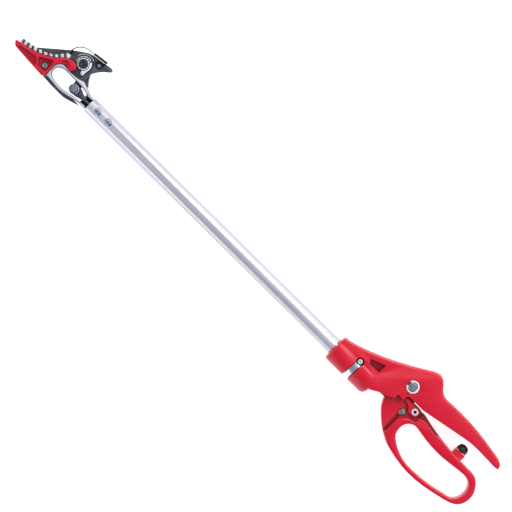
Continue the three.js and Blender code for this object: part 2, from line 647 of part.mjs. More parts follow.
/** The blade: cutting edge, hub, tail and the crank that the rod pulls, all one plate. */
function cuttingBlade() {
  const [px, py] = HEAD_PIVOT;
  const pin = [px + CRANK[0], py + CRANK[1]];
  const outline = curved(
    CUT_LINE,
    [[487, 29.2], [480, 25.3], [473.3, 21.6]],
    [[473.3, 21.6], [448, 0.2]],
    [[448, 0.2], [444.6, -2.3], [438.3, -6.7], [434, -9.4], [429, -11.1]],
    [[429, -11.1], [415.4, -12.9]],
    [[415.4, -12.9], [410, -14.2], [407.2, -13.8], [406, -12.2], [407.4, -10.2]],
    [[407.4, -10.2], [411.6, -6.9], [415.4, -2.6], [418, 1.4], [419.2, 4.2]],
    [[419.2, 4.2], [418.4, 9], [417, 14], [416.2, 19], [pin[0] - 4.7, pin[1]]],
    [[pin[0] - 4.7, pin[1]], [pin[0] - 3.3, pin[1] + 3.3], [pin[0], pin[1] + 4.7], [pin[0] + 3.3, pin[1] + 3.3],
      [pin[0] + 4.7, pin[1]]],
    [[pin[0] + 4.7, pin[1]], [424.4, 19], [426.4, 14], [430, 12.2]],
    [[430, 12.2], [436, 10.6], [442, 8.5]],
  );
  const body = prism(outline, ...BLADE_Z);
  return cut(
    body,
    cuttingBevel(),
    disc(BOLT_R + 0.15, 0, 30, HEAD_PIVOT),
    disc(2.15, 0, 30, pin, 24),
    disc(1.3, 0, 30, LEAF_RIVET, 16),
    disc(1, BLADE_Z[0] + 0.6, 30, LOCK_SCREW, 16),
  );
}

/** The ground bevel along the cutting edge, on the front face. */
function cuttingBevel() {
  const ground = curved(beside(CUT_LINE.slice(2), -2.6), [[487, 26.6], [489, 34]], [[489, 34], [450, 34]]);
  return prism(ground, BLADE_Z[1] - 1.3, BLADE_Z[1] + 2);
}

const GRIPPER_TOP = [
  [446, 3.9], [447.6, 4.6], [449.6, 7.3], [451.9, 10.4], [454.2, 12.7], [456.8, 15], [459.6, 16.6], [462.6, 18.1],
  [468.8, 20.3], [473.5, 21.4], [481.5, 22.8], [486.6, 23.4],
];
const GRIPPER_FOOT = [
  [487.3, 27.3], [483, 26.9], [478, 26.2], [473, 25], [468, 23.3], [463, 21.2], [458, 18.5], [453, 15.1],
  [449.2, 11.6], [446, 8.8], [443, 6.9], [439.5, 5.7],
];

/** The serrated gripper: a hub round the pivot, an arm and a deep toothed lip that meets the pad. */
function gripper() {
  const [low, high] = GRIPPER_Z;
  const flat = curved(
    [[436.4, -2.6], [440, 0.6], [443.4, 3.1], [446, 3.9]],
    GRIPPER_TOP,
    [[486.6, 23.4], [487.3, 27.3]],
    GRIPPER_FOOT,
    [[439.5, 5.7], [434, 5.4]],
  );
  const lip = curved(
    [[444, 3.9], [446, 3.9]],
    GRIPPER_TOP,
    [[486.6, 23.4], [487.3, 27.3]],
    GRIPPER_FOOT.slice(0, -1),
    [[443, 6.9], [444, 3.9]],
  );
  const body = joined(disc(7.9, low, high, HEAD_PIVOT, 36), prism(flat, low, high), prism(lip, low, TEETH_TOP));
  return cut(body, disc(BOLT_R + 0.15, 0, 30, HEAD_PIVOT), ...toothGaps());
}

/** Slanted gaps between the teeth, right across the lip and evenly spaced along it. */
function toothGaps() {
  const foot = new THREE.SplineCurve(GRIPPER_FOOT.map(([x, y]) => new THREE.Vector2(x, y)));
  const [gaps, first, span] = [9, 0.06, 0.8];
  const [wide, reach, tall, slant] = [2.4, 10, 12, 0.18];
  return Array.from({ length: gaps }, (_, i) => {
    const share = first + (span * i) / (gaps - 1);
    const at = foot.getPointAt(share);
    const along = foot.getTangentAt(share);
    const gap = new THREE.BoxGeometry(wide, reach, tall).rotateZ(along.angle() + Math.PI + slant);
    return solid(gap.translate(at.x, at.y, GRIPPER_Z[1] + 0.2 + tall / 2));
  });
}

/** The leaf spring: a thin strip that arches from the blade's tail to the gripper's lug. */
function leafSpring() {
  const line = [
    [417.2, -13.55], [423, -12.75], [429, -12.05], [434, -12], [438.4, -11], [442, -9], [444.7, -6.2], [446.3, -3],
    [447, 0.4], [447.1, 3.3],
  ];
  const spine = new THREE.SplineCurve(line.map(([x, y]) => new THREE.Vector2(x, y)));
  const half = 0.4;
  const side = (sign) => spine.getPoints(27).map((p, i) => {
    const tangent = spine.getTangent(i / 27);
    return new THREE.Vector2(p.x - sign * half * tangent.y, p.y + sign * half * tangent.x);
  });
  return prism(new THREE.Shape([...side(1), ...side(-1).reverse()]), 15.8, 19.6);
}

/** The black bar that holds the leaf spring against the tail, with a flange under the rivet. */
function leafMount() {
  const bar = prism(polygon([[429.4, -12.8], [429.4, -13.8], [415, -15.6], [415, -14.4]]), BLADE_Z[0], 19.7);
  const root = prism(polygon([[415, -13.3], [416.2, -13.2], [416.2, -14.8], [415, -15]]), BLADE_Z[0], 19.7);
  const heel = prism(polygon([[429.4, -11.45], [429.4, -13.8], [415, -15.6], [415, -13.3]]), ...BLADE_Z);
  const [x, y] = LEAF_RIVET;
  const flange = polygon([[x - 4, -14.6], [x - 2.6, y + 2.6, 1.5], [x + 2.6, y + 2.6, 1.5], [x + 4.4, -13]]);
  const flangePlate = prism(flange, GRIPPER_Z[0], GRIPPER_Z[0] + 0.9);
  const clear = box([416.3, -14.6, GRIPPER_Z[0]], [x + 9, -12, 30]);
  return cut(joined(bar, root, heel, cut(flangePlate, clear)), disc(1.3, 0, 30, LEAF_RIVET, 16));
}

const leafRivet = () => rivet(LEAF_RIVET, BLADE_Z[0] - 0.1, GRIPPER_Z[0] + 1, 1.8, 0.6, 1.1);

/** The pivot bolt, with its head behind and a hexagon socket in its front end. */
function pivotBolt() {
  const [front, seat] = [21.3, PLATE_Z[0] - 0.1];
  const body = turned([
    [0, seat - 3], [5, seat - 3], [6.8, seat - 1.8], [6.8, seat], [BOLT_R, seat], [BOLT_R, front - 0.4],
    [BOLT_R - 0.4, front], [0, front],
  ], HEAD_PIVOT, 36);
  return cut(body, disc(3.3, front - 2.4, front + 1, HEAD_PIVOT, 6));
}

/** The adjusting nut, with a wavy edge that the lock plate holds. */
function pivotNut() {
  const [lobes, steps] = [12, 72];
  const rim = Array.from({ length: steps }, (_, i) => {
    const angle = (i / steps) * 2 * Math.PI;
    const r = 5.55 + 0.4 * Math.cos(lobes * angle);
    return new THREE.Vector2(HEAD_PIVOT[0] + r * Math.cos(angle), HEAD_PIVOT[1] + r * Math.sin(angle));
  });
  return cut(prism(new THREE.Shape(rim), ...NUT_Z), disc(BOLT_R + 0.15, 0, 30, HEAD_PIVOT));
}

/** The crescent that keeps the nut from turning, held by one small screw. */
function lockPlate() {
  const [px, py] = HEAD_PIVOT;
  const [from, to] = [THREE.MathUtils.degToRad(132), THREE.MathUtils.degToRad(234)];
  const crescent = new THREE.Shape();
  crescent.absarc(px, py, 7.6, from, to, false);
  crescent.absarc(px, py, 6.2, to, from, true);
  const [x, y] = LOCK_SCREW;
  const ear = polygon([[x - 1.6, y - 4.2], [x + 2.4, y - 2.8], [x + 1.7, y + 1, 0.8], [x - 1.5, y + 1.4, 1]]);
  const eared = cut(prism(ear, 17.4, 18.7), disc(6.2, 17, 19, HEAD_PIVOT));
  return cut(joined(prism(crescent, 17.4, 18.7, 0, 0, 20), eared), disc(1, 0, 30, LOCK_SCREW, 16));
}

const lockScrew = () => crossScrew(LOCK_SCREW, 18.8, 1, 1.4, 0.8, 0.8, 4.6);

// ---------------------------------------------------------------- assembly

const handle = new THREE.Group();
handle.add(
  piece('handle_body', handleBody(), RED),
  piece('clamp_band', clampBand(), CHROME),
  piece('clamp_screw_front', clampScrew(1), ZINC),
  piece('clamp_screw_rear', clampScrew(-1), ZINC),
  piece('pivot_pin', pivotPin(), ZINC),
  piece('pivot_e_clip', eClip(), CHROME),
  piece('return_spring', returnSpring(), SPRING_STEEL),
);

const trigger = new THREE.Group();
trigger.add(
  piece('lever', lever(), RED),
  piece('bumper_cap', bumperCap(), RUBBER),
  piece('rod_pin', rodPin(), ZINC),
  piece('latch', latch(), RED),
  piece('latch_screw', latchScrew(), ZINC),
);

// The rod leans very slightly, from the lever's crank to the blade's.
const linkage = new THREE.Group();
linkage.position.set(CRANK[0], CRANK[1], 0);
linkage.rotation.z = Math.atan2(HEAD_PIVOT[1], HEAD_PIVOT[0]);
linkage.add(
  piece('pull_rod', pullRod(), DARK_STEEL),
  piece('rod_coupler', rodCoupler(), ZINC),
  piece('link_fork', linkFork(), DARK_STEEL),
  piece('link_bolt', linkBolt(), ZINC),
  piece('link_nut', linkNut(), ZINC),
);

const shaft = new THREE.Group();
shaft.add(piece('pole', pole(), ALUMINIUM));
HEAD_SCREWS_X.forEach((x, i) => shaft.add(piece(`head_screw_${i + 1}`, headScrew(x), ZINC)));

const jaw = new THREE.Group();
jaw.add(
  piece('head_bracket', headBracket(), CHROME),
  piece('counter_plate', counterPlate(), DARK_STEEL),
  piece('jaw_pad', jawPad(), RED),
  piece('pad_screw', padScrew(), ZINC),
  piece('pad_nut', padNut(), ZINC),
  piece('pivot_bolt', pivotBolt(), CHROME),
);
PLATE_SCREWS.forEach((at, i) => jaw.add(piece(`plate_screw_${i + 1}`, plateScrew(at), ZINC)));

const moving = new THREE.Group();
moving.add(
  piece('cutting_blade', cuttingBlade(), DARK_STEEL),
  piece('pivot_nut', pivotNut(), CHROME),
  piece('lock_plate', lockPlate(), CHROME),
  piece('lock_screw', lockScrew(), ZINC),
  piece('leaf_spring', leafSpring(), SPRING_STEEL),
  piece('leaf_mount', leafMount(), DARK_STEEL),
  piece('leaf_rivet', leafRivet(), ZINC),
  piece('gripper', gripper(), CHROME),
);

const pruner = new THREE.Group();
pruner.add(handle, trigger, linkage, shaft, jaw, moving);

export default pruner;
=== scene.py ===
"""Long-reach cut-and-hold pruner: finishes, moulded surface detail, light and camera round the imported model."""

import json
import math

import bpy
from mathutils import Matrix, Vector
from mathutils.bvhtree import BVHTree


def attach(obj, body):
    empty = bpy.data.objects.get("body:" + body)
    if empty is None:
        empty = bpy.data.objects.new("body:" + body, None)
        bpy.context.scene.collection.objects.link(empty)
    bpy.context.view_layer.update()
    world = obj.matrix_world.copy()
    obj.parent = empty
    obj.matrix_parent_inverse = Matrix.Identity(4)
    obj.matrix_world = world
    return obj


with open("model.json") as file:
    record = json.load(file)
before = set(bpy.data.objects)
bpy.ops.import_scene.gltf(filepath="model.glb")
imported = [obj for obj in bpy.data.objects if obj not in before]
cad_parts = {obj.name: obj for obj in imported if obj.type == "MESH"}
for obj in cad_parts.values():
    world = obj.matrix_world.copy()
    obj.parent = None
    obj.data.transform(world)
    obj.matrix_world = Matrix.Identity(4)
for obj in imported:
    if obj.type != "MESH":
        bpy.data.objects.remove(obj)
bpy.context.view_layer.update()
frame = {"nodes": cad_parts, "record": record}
nodes = frame["nodes"]
MM = 0.001

# ---------------------------------------------------------------- camera

MID_Z = 14.0  # the tool's middle plane, in mm over the floor
VIEW_CENTRE = Vector((189.5, 15.75, MID_Z)) * MM
IMAGE_RIGHT = Vector((-0.7118, -0.7024, 0.0))
IMAGE_UP = Vector((0.7024, -0.7118, 0.0))
IMAGE_WIDTH = 479.2 * MM
LENS = 150.0
SENSOR = 36.0
CLIP_NEAR, CLIP_FAR = 0.05, 20.0


def make_camera():
    data = bpy.data.cameras.new("camera")
    data.lens = LENS
    data.sensor_width = SENSOR
    data.clip_start = CLIP_NEAR
    data.clip_end = CLIP_FAR
    camera = bpy.data.objects.new("camera", data)
    bpy.context.collection.objects.link(camera)
    back = IMAGE_RIGHT.cross(IMAGE_UP).normalized()
    turn = Matrix((IMAGE_RIGHT.normalized(), IMAGE_UP.normalized(), back)).transposed()
    camera.matrix_world = turn.to_4x4()
    camera.location = VIEW_CENTRE + back * (IMAGE_WIDTH * LENS / SENSOR)
    bpy.context.scene.camera = camera


make_camera()

# ---------------------------------------------------------------- node helpers


def node(tree, kind, props=None, **inputs):
    """One shader node. An input given as a socket is linked, and any other value is set."""
    made = tree.nodes.new("ShaderNode" + kind)
    for key, value in (props or {}).items():
        setattr(made, key, value)
    for key, value in inputs.items():
        socket = made.inputs[key.replace("_", " ")]
        if isinstance(value, bpy.types.NodeSocket):
            tree.links.new(value, socket)
        else:
            socket.default_value = value
    return made


def math_node(tree, operation, first, second=0.0):
    made = node(tree, "Math", {"operation": operation})
    for socket, value in zip(made.inputs, (first, second)):
        if isinstance(value, bpy.types.NodeSocket):
            tree.links.new(value, socket)
        else:
            socket.default_value = value
    return made.outputs[0]


def vector_math(tree, operation, socket, constant):
    made = node(tree, "VectorMath", {"operation": operation})
    tree.links.new(socket, made.inputs[0])
    made.inputs[1].default_value = constant
    return made.outputs


def new_material(name, **sockets):
    """A Principled material, with the constant values set on the shader's own sockets."""
    made = bpy.data.materials.new(name)
    made.use_nodes = True
    tree = made.node_tree
    shader = tree.nodes["Principled BSDF"]
    for key, value in sockets.items():
        shader.inputs[key.replace("_", " ")].default_value = value
    place = node(tree, "TexCoord").outputs["Object"]
    return made, tree, shader, place


def noise(tree, place, scale, detail=3.0, rough=0.55, stretch=None):
    """Fractal noise of scale cycles a metre, drawn out along the axes where stretch is small."""
    if stretch:
        place = node(tree, "Mapping", Vector=place, Scale=stretch).outputs[0]
    return node(tree, "TexNoise", Vector=place, Scale=scale, Detail=detail, Roughness=rough).outputs["Fac"]


def ramp(tree, value, low, high, to_low, to_high):
    """value between low and high, turned into to_low to to_high."""
    made = node(tree, "MapRange", Value=value, From_Min=low, From_Max=high, To_Min=to_low, To_Max=to_high)
    return made.outputs["Result"]


MIX_SHARE, MIX_FIRST, MIX_SECOND, MIX_RESULT = 0, 6, 7, 2  # the Mix node's sockets for colours


def mixed(tree, share, first, second):
    """The colour first, turning into second as the socket share goes from 0 to 1."""
    made = node(tree, "Mix", {"data_type": "RGBA"})
    tree.links.new(share, made.inputs[MIX_SHARE])
    for index, value in ((MIX_FIRST, first), (MIX_SECOND, second)):
        if isinstance(value, bpy.types.NodeSocket):
            tree.links.new(value, made.inputs[index])
        else:
            made.inputs[index].default_value = (*value, 1.0)
    return made.outputs[MIX_RESULT]


def bump(tree, height, distance, strength=1.0, under=None):
    made = node(tree, "Bump", Height=height, Distance=distance, Strength=strength)
    if under:
        tree.links.new(under, made.inputs["Normal"])
    return made.outputs[0]


def link(tree, socket, shader, name):
    tree.links.new(socket, shader.inputs[name])


def between(tree, value, low, high, soft):
    """1 where value is between low and high, falling to 0 over soft."""
    rise = ramp(tree, value, low - soft, low, 0.0, 1.0)
    fall = ramp(tree, value, high, high + soft, 1.0, 0.0)
    return math_node(tree, "MULTIPLY", rise, fall)


# ---------------------------------------------------------------- materials


def painted_corner_shade(tree, reach, open_share=0.85, shut_share=0.3):
    """Where shade is painted: 0 out in the open, rising to 1 in corners and narrow gaps."""
    shade = node(tree, "AmbientOcclusion", {"samples": 8}, Distance=reach * MM)
    return ramp(tree, shade.outputs["AO"], shut_share, open_share, 1.0, 0.0)


def spot(tree, place, x, y, radius, soft):
    """1 within radius of a point of the XY plane, falling to 0 over soft, all in mm."""
    flat = vector_math(tree, "MULTIPLY", place, (1.0, 1.0, 0.0))["Vector"]
    away = vector_math(tree, "DISTANCE", flat, (x * MM, y * MM, 0.0))["Value"]
    return ramp(tree, away, radius * MM, (radius + soft) * MM, 1.0, 0.0)


def height_of(tree, place):
    return node(tree, "SeparateXYZ", Vector=place).outputs["Z"]


STEP_X = (-48.0, -25.0)
STEP_Y = 18.0
STEP_DEPTH = 8.6  # from the middle plane to the step's two faces
STEP_SHARE = 0.72


def step_shade(tree, place):
    """The lowered, shaded step along the upper edge of the lever's arm, on both faces."""
    part = node(tree, "SeparateXYZ", Vector=place).outputs
    depth = math_node(tree, "ABSOLUTE", math_node(tree, "SUBTRACT", part["Z"], MID_Z * MM))
    inside = ramp(tree, depth, (STEP_DEPTH - 0.4) * MM, STEP_DEPTH * MM, STEP_SHARE, 0.0)
    along = between(tree, part["X"], STEP_X[0] * MM, STEP_X[1] * MM, 3 * MM)
    above = ramp(tree, part["Y"], (STEP_Y - 1) * MM, STEP_Y * MM, 1.0, 0.0)
    return math_node(tree, "MULTIPLY", inside, math_node(tree, "MULTIPLY", along, above))


RED = (0.665, 0.003, 0.027)
RED_DEEP = (0.570, 0.002, 0.020)
# the lighter red of rubbed patches, and also a painted highlight along the arm's raised lines
RED_RUBBED_AND_HIGHLIGHT = (0.66, 0.030, 0.075)
RED_SHADE = (0.14, 0.001, 0.006)
# the black of painted shade, down in a deep pocket of the red plastic
RED_SHADE_BLACK = (0.006, 0.002, 0.002)
# the black of painted shade, down in a metal pocket or recess
SHADE_BLACK = (0.006, 0.006, 0.008)
POCKET_SHARE = 0.75
CORNER_SHADE_TONE = 0.12  # the painted shade's colour in a metal's corners, as a part of its darker tone
FINE_GRAIN = 0.02 * MM
FLOW_MARKS = 0.12 * MM
RUBBER_GRAIN = 0.04 * MM
DIMPLE_DEPTH = 1.0 * MM
DIMPLE_RIM = 1.6
SLOPE_OF_EDGES = (0.12, 0.93)  # the Z of a rounded edge's normal, between a wall's and a flat face's


def moulded_red(name, reach, shade_spots=(), pocket=None, base=RED, shaded_step=False):
    """Glossy moulded nylon: slow shade drift, flow marks, fine grain and rubbed patches, with painted shade in its
    corners and pockets.

    reach is how wide the painted corner shade is, and pocket the height under which a pocket's floor gets painted
    shade, in mm.
    """
    made, tree, shader, place = new_material(
        name, Roughness=0.3, Specular_IOR_Level=0.36, Coat_Weight=0.06, Coat_Roughness=0.2, IOR=1.5
    )
    drift = noise(tree, place, 22.0, 2.0)
    streak = noise(tree, place, 60.0, 4.0, 0.6, (0.5, 2.0, 1.0))
    colour = mixed(tree, ramp(tree, drift, 0.3, 0.7, 0.0, 0.6), base, RED_DEEP)
    rub = noise(tree, place, 260.0, 5.0, 0.7)
    colour = mixed(tree, ramp(tree, rub, 0.6, 0.8, 0.0, 0.35), colour, RED_RUBBED_AND_HIGHLIGHT)
    # painted shade on a pocket's floor, under the given height
    if pocket:
        low = ramp(tree, height_of(tree, place), (pocket - 0.5) * MM, pocket * MM, POCKET_SHARE, 0.0)
        colour = mixed(tree, low, colour, RED_SHADE)
    if shaded_step:
        colour = mixed(tree, step_shade(tree, place), colour, RED_SHADE)
    # painted shade in corners and narrow gaps
    colour = mixed(tree, painted_corner_shade(tree, reach), colour, RED_SHADE)
    # black spots of painted shade, down in deep pockets
    for x, y, radius in shade_spots:
        colour = mixed(tree, spot(tree, place, x, y, radius, 0.2), colour, RED_SHADE_BLACK)
    link(tree, colour, shader, "Base Color")
    link(tree, ramp(tree, streak, 0.3, 0.75, 0.22, 0.4), shader, "Roughness")
    grain = bump(tree, noise(tree, place, 2600.0, 2.0), FINE_GRAIN, 0.5)
    link(tree, bump(tree, streak, FLOW_MARKS, 0.35, grain), shader, "Normal")
    return made


def black_rubber():
    """Near-black rubber with a fine cast grain and patches of duller skin."""
    made, tree, shader, place = new_material("rubber", Roughness=0.5, Specular_IOR_Level=0.45)
    cloud = noise(tree, place, 300.0, 4.0)
    link(tree, mixed(tree, cloud, (0.004, 0.004, 0.005), (0.014, 0.014, 0.016)), shader, "Base Color")
    link(tree, ramp(tree, cloud, 0.3, 0.7, 0.25, 0.5), shader, "Roughness")
    link(tree, bump(tree, noise(tree, place, 2200.0, 3.0), RUBBER_GRAIN, 0.6), shader, "Normal")
    return made


def metal(
    name, light, dark, rough, clouds, lines, line_depth, pits=0.0, specks=None, metallic=1.0,
    below=None, spots=(), dimples=(), reach=0.0, edge_reflection=None,
):
    """Bare or plated metal: tone clouds between light and dark, brushed lines, small pits, and painted shade in the
    corners.

    rough is the roughness from the smoothest to the dullest line, clouds the clouds' scale, lines how the lines are
    drawn out along X, Y and Z, line_depth their depth in mm, and pits how strong the pits are. specks is the colour
    of small dark flecks, and below is a height, how softly it starts, and the tone of painted shade under it. spots
    are black spots of painted shade, and dimples are pressed in from the front, each an x, y and radius. reach is how
    wide the painted shade in the corners is. edge_reflection is the colour of a painted dark reflection on the
    rounded edges.
    """
    made, tree, shader, place = new_material(name, Metallic=metallic)
    cloud = noise(tree, place, clouds, 5.0, 0.62)
    colour = mixed(tree, ramp(tree, cloud, 0.32, 0.68, 0.0, 1.0), light, dark)
    if specks:
        dots = noise(tree, place, clouds * 7, 4.0, 0.7)
        colour = mixed(tree, ramp(tree, dots, 0.58, 0.72, 0.0, 0.7), colour, specks)
    # painted shade under a height
    if below:
        level, soft, tone = below
        share = ramp(tree, height_of(tree, place), (level - soft) * MM, level * MM, 1.0, 0.0)
        colour = mixed(tree, share, colour, tone)
    # black spots of painted shade, down in pockets and recesses
    for x, y, radius in spots:
        colour = mixed(tree, spot(tree, place, x, y, radius, 0.3), colour, SHADE_BLACK)
    # a painted dark reflection on the rounded edges
    if edge_reflection:
        slope = height_of(tree, node(tree, "TexCoord").outputs["Normal"])
        colour = mixed(tree, between(tree, slope, *SLOPE_OF_EDGES, 0.05), colour, edge_reflection)
    # painted shade in corners and narrow gaps
    if reach:
        corner_shade = tuple(CORNER_SHADE_TONE * part for part in dark)
        colour = mixed(tree, painted_corner_shade(tree, reach, 0.8, 0.2), colour, corner_shade)
    link(tree, colour, shader, "Base Color")
    brushed = noise(tree, place, 900.0, 4.0, 0.6, lines)
    link(tree, ramp(tree, brushed, 0.3, 0.7, *rough), shader, "Roughness")
    normal = bump(tree, noise(tree, place, 1500.0, 3.0), FINE_GRAIN, pits) if pits else None
    normal = bump(tree, brushed, line_depth * MM, 0.5, normal)
    for x, y, radius in dimples:
        front = ramp(tree, height_of(tree, place), MID_Z * MM, (MID_Z + 4) * MM, 0.0, 1.0)
        pressed = math_node(tree, "MULTIPLY", spot(tree, place, x, y, radius, DIMPLE_RIM), front)
        normal = bump(tree, pressed, -DIMPLE_DEPTH, 0.8, normal)
    link(tree, normal, shader, "Normal")
    return made


ALONG = (0.02, 1.0, 1.0)
EVEN = (1.0, 1.0, 1.0)
CLAMP_SCREW = (51.3, 17.8)
LATCH_SCREW = (-18.0, 15.3)
HEAD_SCREWS = ((375.3, 24.2), (389.4, 24.2))
SCREW_DIMPLE = 2.6
SILVER = (0.95, 0.95, 0.96)
SILVER_DARK = (0.84, 0.85, 0.88)
GUNMETAL = (0.125, 0.138, 0.155)
GUNMETAL_DARK = (0.07, 0.08, 0.09)
BLACKENED = (0.02, 0.022, 0.025)
# painted shade on the floors between the gripper's teeth
GRIPPER_GAP_SHADE = (0.085, 0.095, 0.105)
POLE_SHADE = (0.45, 0.45, 0.51)
# the colour of a painted dark reflection on the bracket's rounded edges
PAINTED_DARK_REFLECTION = (0.045, 0.055, 0.11)

# One material for each slot.
MATERIALS = {
    "red_plastic": moulded_red("red_plastic", 3.0),
    "rubber": black_rubber(),
    "pole_aluminium": metal(
        "pole_aluminium", (0.86, 0.86, 0.90), (0.76, 0.76, 0.81), rough=(0.24, 0.34), clouds=25.0,
        lines=ALONG, line_depth=0.006, pits=0.2,
        # painted shade on the pole's lower flanks, under 21.2 mm
        below=(21.2, 2.6, POLE_SHADE), dimples=[(*place, SCREW_DIMPLE) for place in HEAD_SCREWS],
    ),
    "chrome": metal(
        "chrome", (0.90, 0.91, 0.93), (0.78, 0.80, 0.85), rough=(0.05, 0.12), clouds=120.0,
        lines=EVEN, line_depth=0.004, reach=2.5,
    ),
    "zinc": metal(
        "zinc", (0.33, 0.38, 0.46), (0.14, 0.17, 0.24), rough=(0.16, 0.34), clouds=420.0,
        lines=EVEN, line_depth=0.01, pits=0.4, metallic=0.8, reach=1.2,
    ),
    "dark_steel": metal(
        "dark_steel", GUNMETAL, GUNMETAL_DARK, rough=(0.26, 0.46), clouds=160.0,
        lines=(1.0, 0.15, 1.0), line_depth=0.008, pits=0.5, specks=BLACKENED, reach=2.0,
    ),
    "spring_steel": metal(
        "spring_steel", (0.2, 0.21, 0.22), (0.1, 0.11, 0.12), rough=(0.15, 0.3), clouds=300.0,
        lines=ALONG, line_depth=0.01,
    ),
}
BRIGHT = metal(
    "bright_plate", SILVER, SILVER_DARK, rough=(0.2, 0.34), clouds=300.0,
    lines=EVEN, line_depth=0.008, pits=0.3, metallic=0.35, reach=1.0,
)

# The pieces that look different from the rest of their slot.
OWN_MATERIAL = {
    # a black spot of painted shade down in the clamp screw's pocket
    "handle_body": moulded_red("red_handle", 4.0, shade_spots=[(*CLAMP_SCREW, 3.95)]),
    "lever": moulded_red("red_lever", 7.0, shaded_step=True),
    "jaw_pad": moulded_red("red_pad", 1.6, pocket=22.2),
    "clamp_band": metal(
        "clamp_chrome", (0.66, 0.66, 0.72), (0.52, 0.52, 0.58), rough=(0.12, 0.24), clouds=140.0,
        # a black spot of painted shade on the ear, down in the clamp screw's pocket
        lines=(1.0, 0.1, 0.1), line_depth=0.006, spots=[(*CLAMP_SCREW, 3.4)],
    ),
    "head_bracket": metal(
        "bracket_chrome", (0.90, 0.90, 0.93), (0.72, 0.73, 0.80), rough=(0.08, 0.2), clouds=90.0,
        # painted dark reflection on the rounded edges
        lines=EVEN, line_depth=0.006, pits=0.2, metallic=0.6, reach=2.0, edge_reflection=PAINTED_DARK_REFLECTION,
    ),
    "latch_screw": metal(
        "latch_screw_face", SILVER, SILVER_DARK, rough=(0.2, 0.34), clouds=300.0,
        # a black spot of painted shade in the middle of the screw's head, where its recess is
        lines=EVEN, line_depth=0.008, pits=0.3, metallic=0.35, spots=[(*LATCH_SCREW, 1.5)],
    ),
    "pivot_pin": metal(
        "pin_face", (0.36, 0.38, 0.40), (0.18, 0.2, 0.22), rough=(0.3, 0.5), clouds=700.0,
        lines=EVEN, line_depth=0.02, pits=0.9,
    ),
    "rod_pin": metal(
        "rivet_face", (0.34, 0.36, 0.37), (0.18, 0.19, 0.2), rough=(0.3, 0.5), clouds=700.0,
        lines=EVEN, line_depth=0.02, pits=0.9,
    ),
    "pad_screw": metal(
        "pad_screw_face", (0.34, 0.38, 0.38), (0.2, 0.22, 0.22), rough=(0.3, 0.5), clouds=600.0,
        lines=EVEN, line_depth=0.02, pits=0.8,
    ),
    "pivot_bolt": metal(
        "bolt_black", (0.12, 0.14, 0.17), (0.03, 0.035, 0.045), rough=(0.15, 0.3), clouds=300.0,
        lines=EVEN, line_depth=0.01, pits=0.5,
    ),
    "head_screw_1": metal(
        "screw_blue", (0.40, 0.50, 0.58), (0.16, 0.21, 0.27), rough=(0.2, 0.35), clouds=500.0,
        lines=EVEN, line_depth=0.01, pits=0.5,
    ),
    "leaf_mount": metal(
        "black_bar", (0.035, 0.037, 0.04), (0.015, 0.016, 0.018), rough=(0.35, 0.55), clouds=300.0,
        lines=ALONG, line_depth=0.01, pits=0.6,
    ),
    "gripper": metal(
        "gripper_steel", (0.92, 0.93, 0.95), (0.72, 0.75, 0.80), rough=(0.15, 0.3), clouds=260.0,
        # painted shade under 17.9 mm, on the floors between the teeth
        lines=EVEN, line_depth=0.01, pits=0.5, metallic=0.6, below=(17.9, 0.5, GRIPPER_GAP_SHADE), reach=1.5,
    ),
}
OWN_MATERIAL["head_screw_2"] = OWN_MATERIAL["head_screw_1"]
for bright_node in ("clamp_screw_front", "clamp_screw_rear", "pivot_e_clip", "lock_plate", "pivot_nut", "lock_screw"):
    OWN_MATERIAL[bright_node] = BRIGHT

# ---------------------------------------------------------------- carried-over pieces

EDGE_ANGLE = math.radians(32)
FLAT_ANGLE = math.radians(0.6)
WELD_REACH = 0.002 * MM
EDGE_SEGMENTS = 2
EDGE_ROUND = {"red_plastic": 0.35, "rubber": 0.2, "dark_steel": 0.12, "chrome": 0.15, "pole_aluminium": 0.15}
OTHER_ROUND = 0.1


def finish_node(obj, slot):
    """Merges the facets' shared corners, then rounds every hard edge so that it catches the light."""
    obj.data.materials.clear()
    obj.data.materials.append(OWN_MATERIAL.get(obj.name, MATERIALS[slot]))
    obj.data.polygons.foreach_set("use_smooth", [True] * len(obj.data.polygons))
    weld = obj.modifiers.new("weld", "WELD")
    weld.merge_threshold = WELD_REACH
    flat = obj.modifiers.new("flat", "DECIMATE")
    flat.decimate_type = "DISSOLVE"
    flat.angle_limit = FLAT_ANGLE
    edge = obj.modifiers.new("edge", "BEVEL")
    edge.width = EDGE_ROUND.get(slot, OTHER_ROUND) * MM
    edge.segments = EDGE_SEGMENTS
    edge.limit_method = "ANGLE"
    edge.angle_limit = EDGE_ANGLE
    edge.harden_normals = True
    edge.miter_outer = "MITER_ARC"


SLOT_OF = {part["node"]: part["material_slot"] for part in frame["record"]["subparts"]}
for name, obj in nodes.items():
    finish_node(obj, SLOT_OF[name])

# ---------------------------------------------------------------- moulded surface detail

FROM_ABOVE = Vector((0, 0, -1))
FROM_BELOW = Vector((0, 0, 1))
RAY_START = 0.2  # m, well outside the tool on either side
BEAD_SIDES = 8
BEAD_RISE = 0.7  # a bead's height as a part of its radius
TAPER_POINTS = 3
TAPER_END = 0.25


def surface_of(name):
    """A carried-over piece's CAD surface, for finding where a ray meets it."""
    mesh = nodes[name].data
    return BVHTree.FromPolygons([v.co for v in mesh.vertices], [p.vertices for p in mesh.polygons])


def add_piece(name, verts, faces, body, material):
    """A piece of its own that rides on a body and belongs to a slot."""
    mesh = bpy.data.meshes.new(name)
    mesh.from_pydata(verts, [], faces)
    mesh.polygons.foreach_set("use_smooth", [True] * len(mesh.polygons))
    mesh.materials.append(material)
    mesh.update()
    piece = bpy.data.objects.new(name, mesh)
    bpy.context.collection.objects.link(piece)
    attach(piece, body)


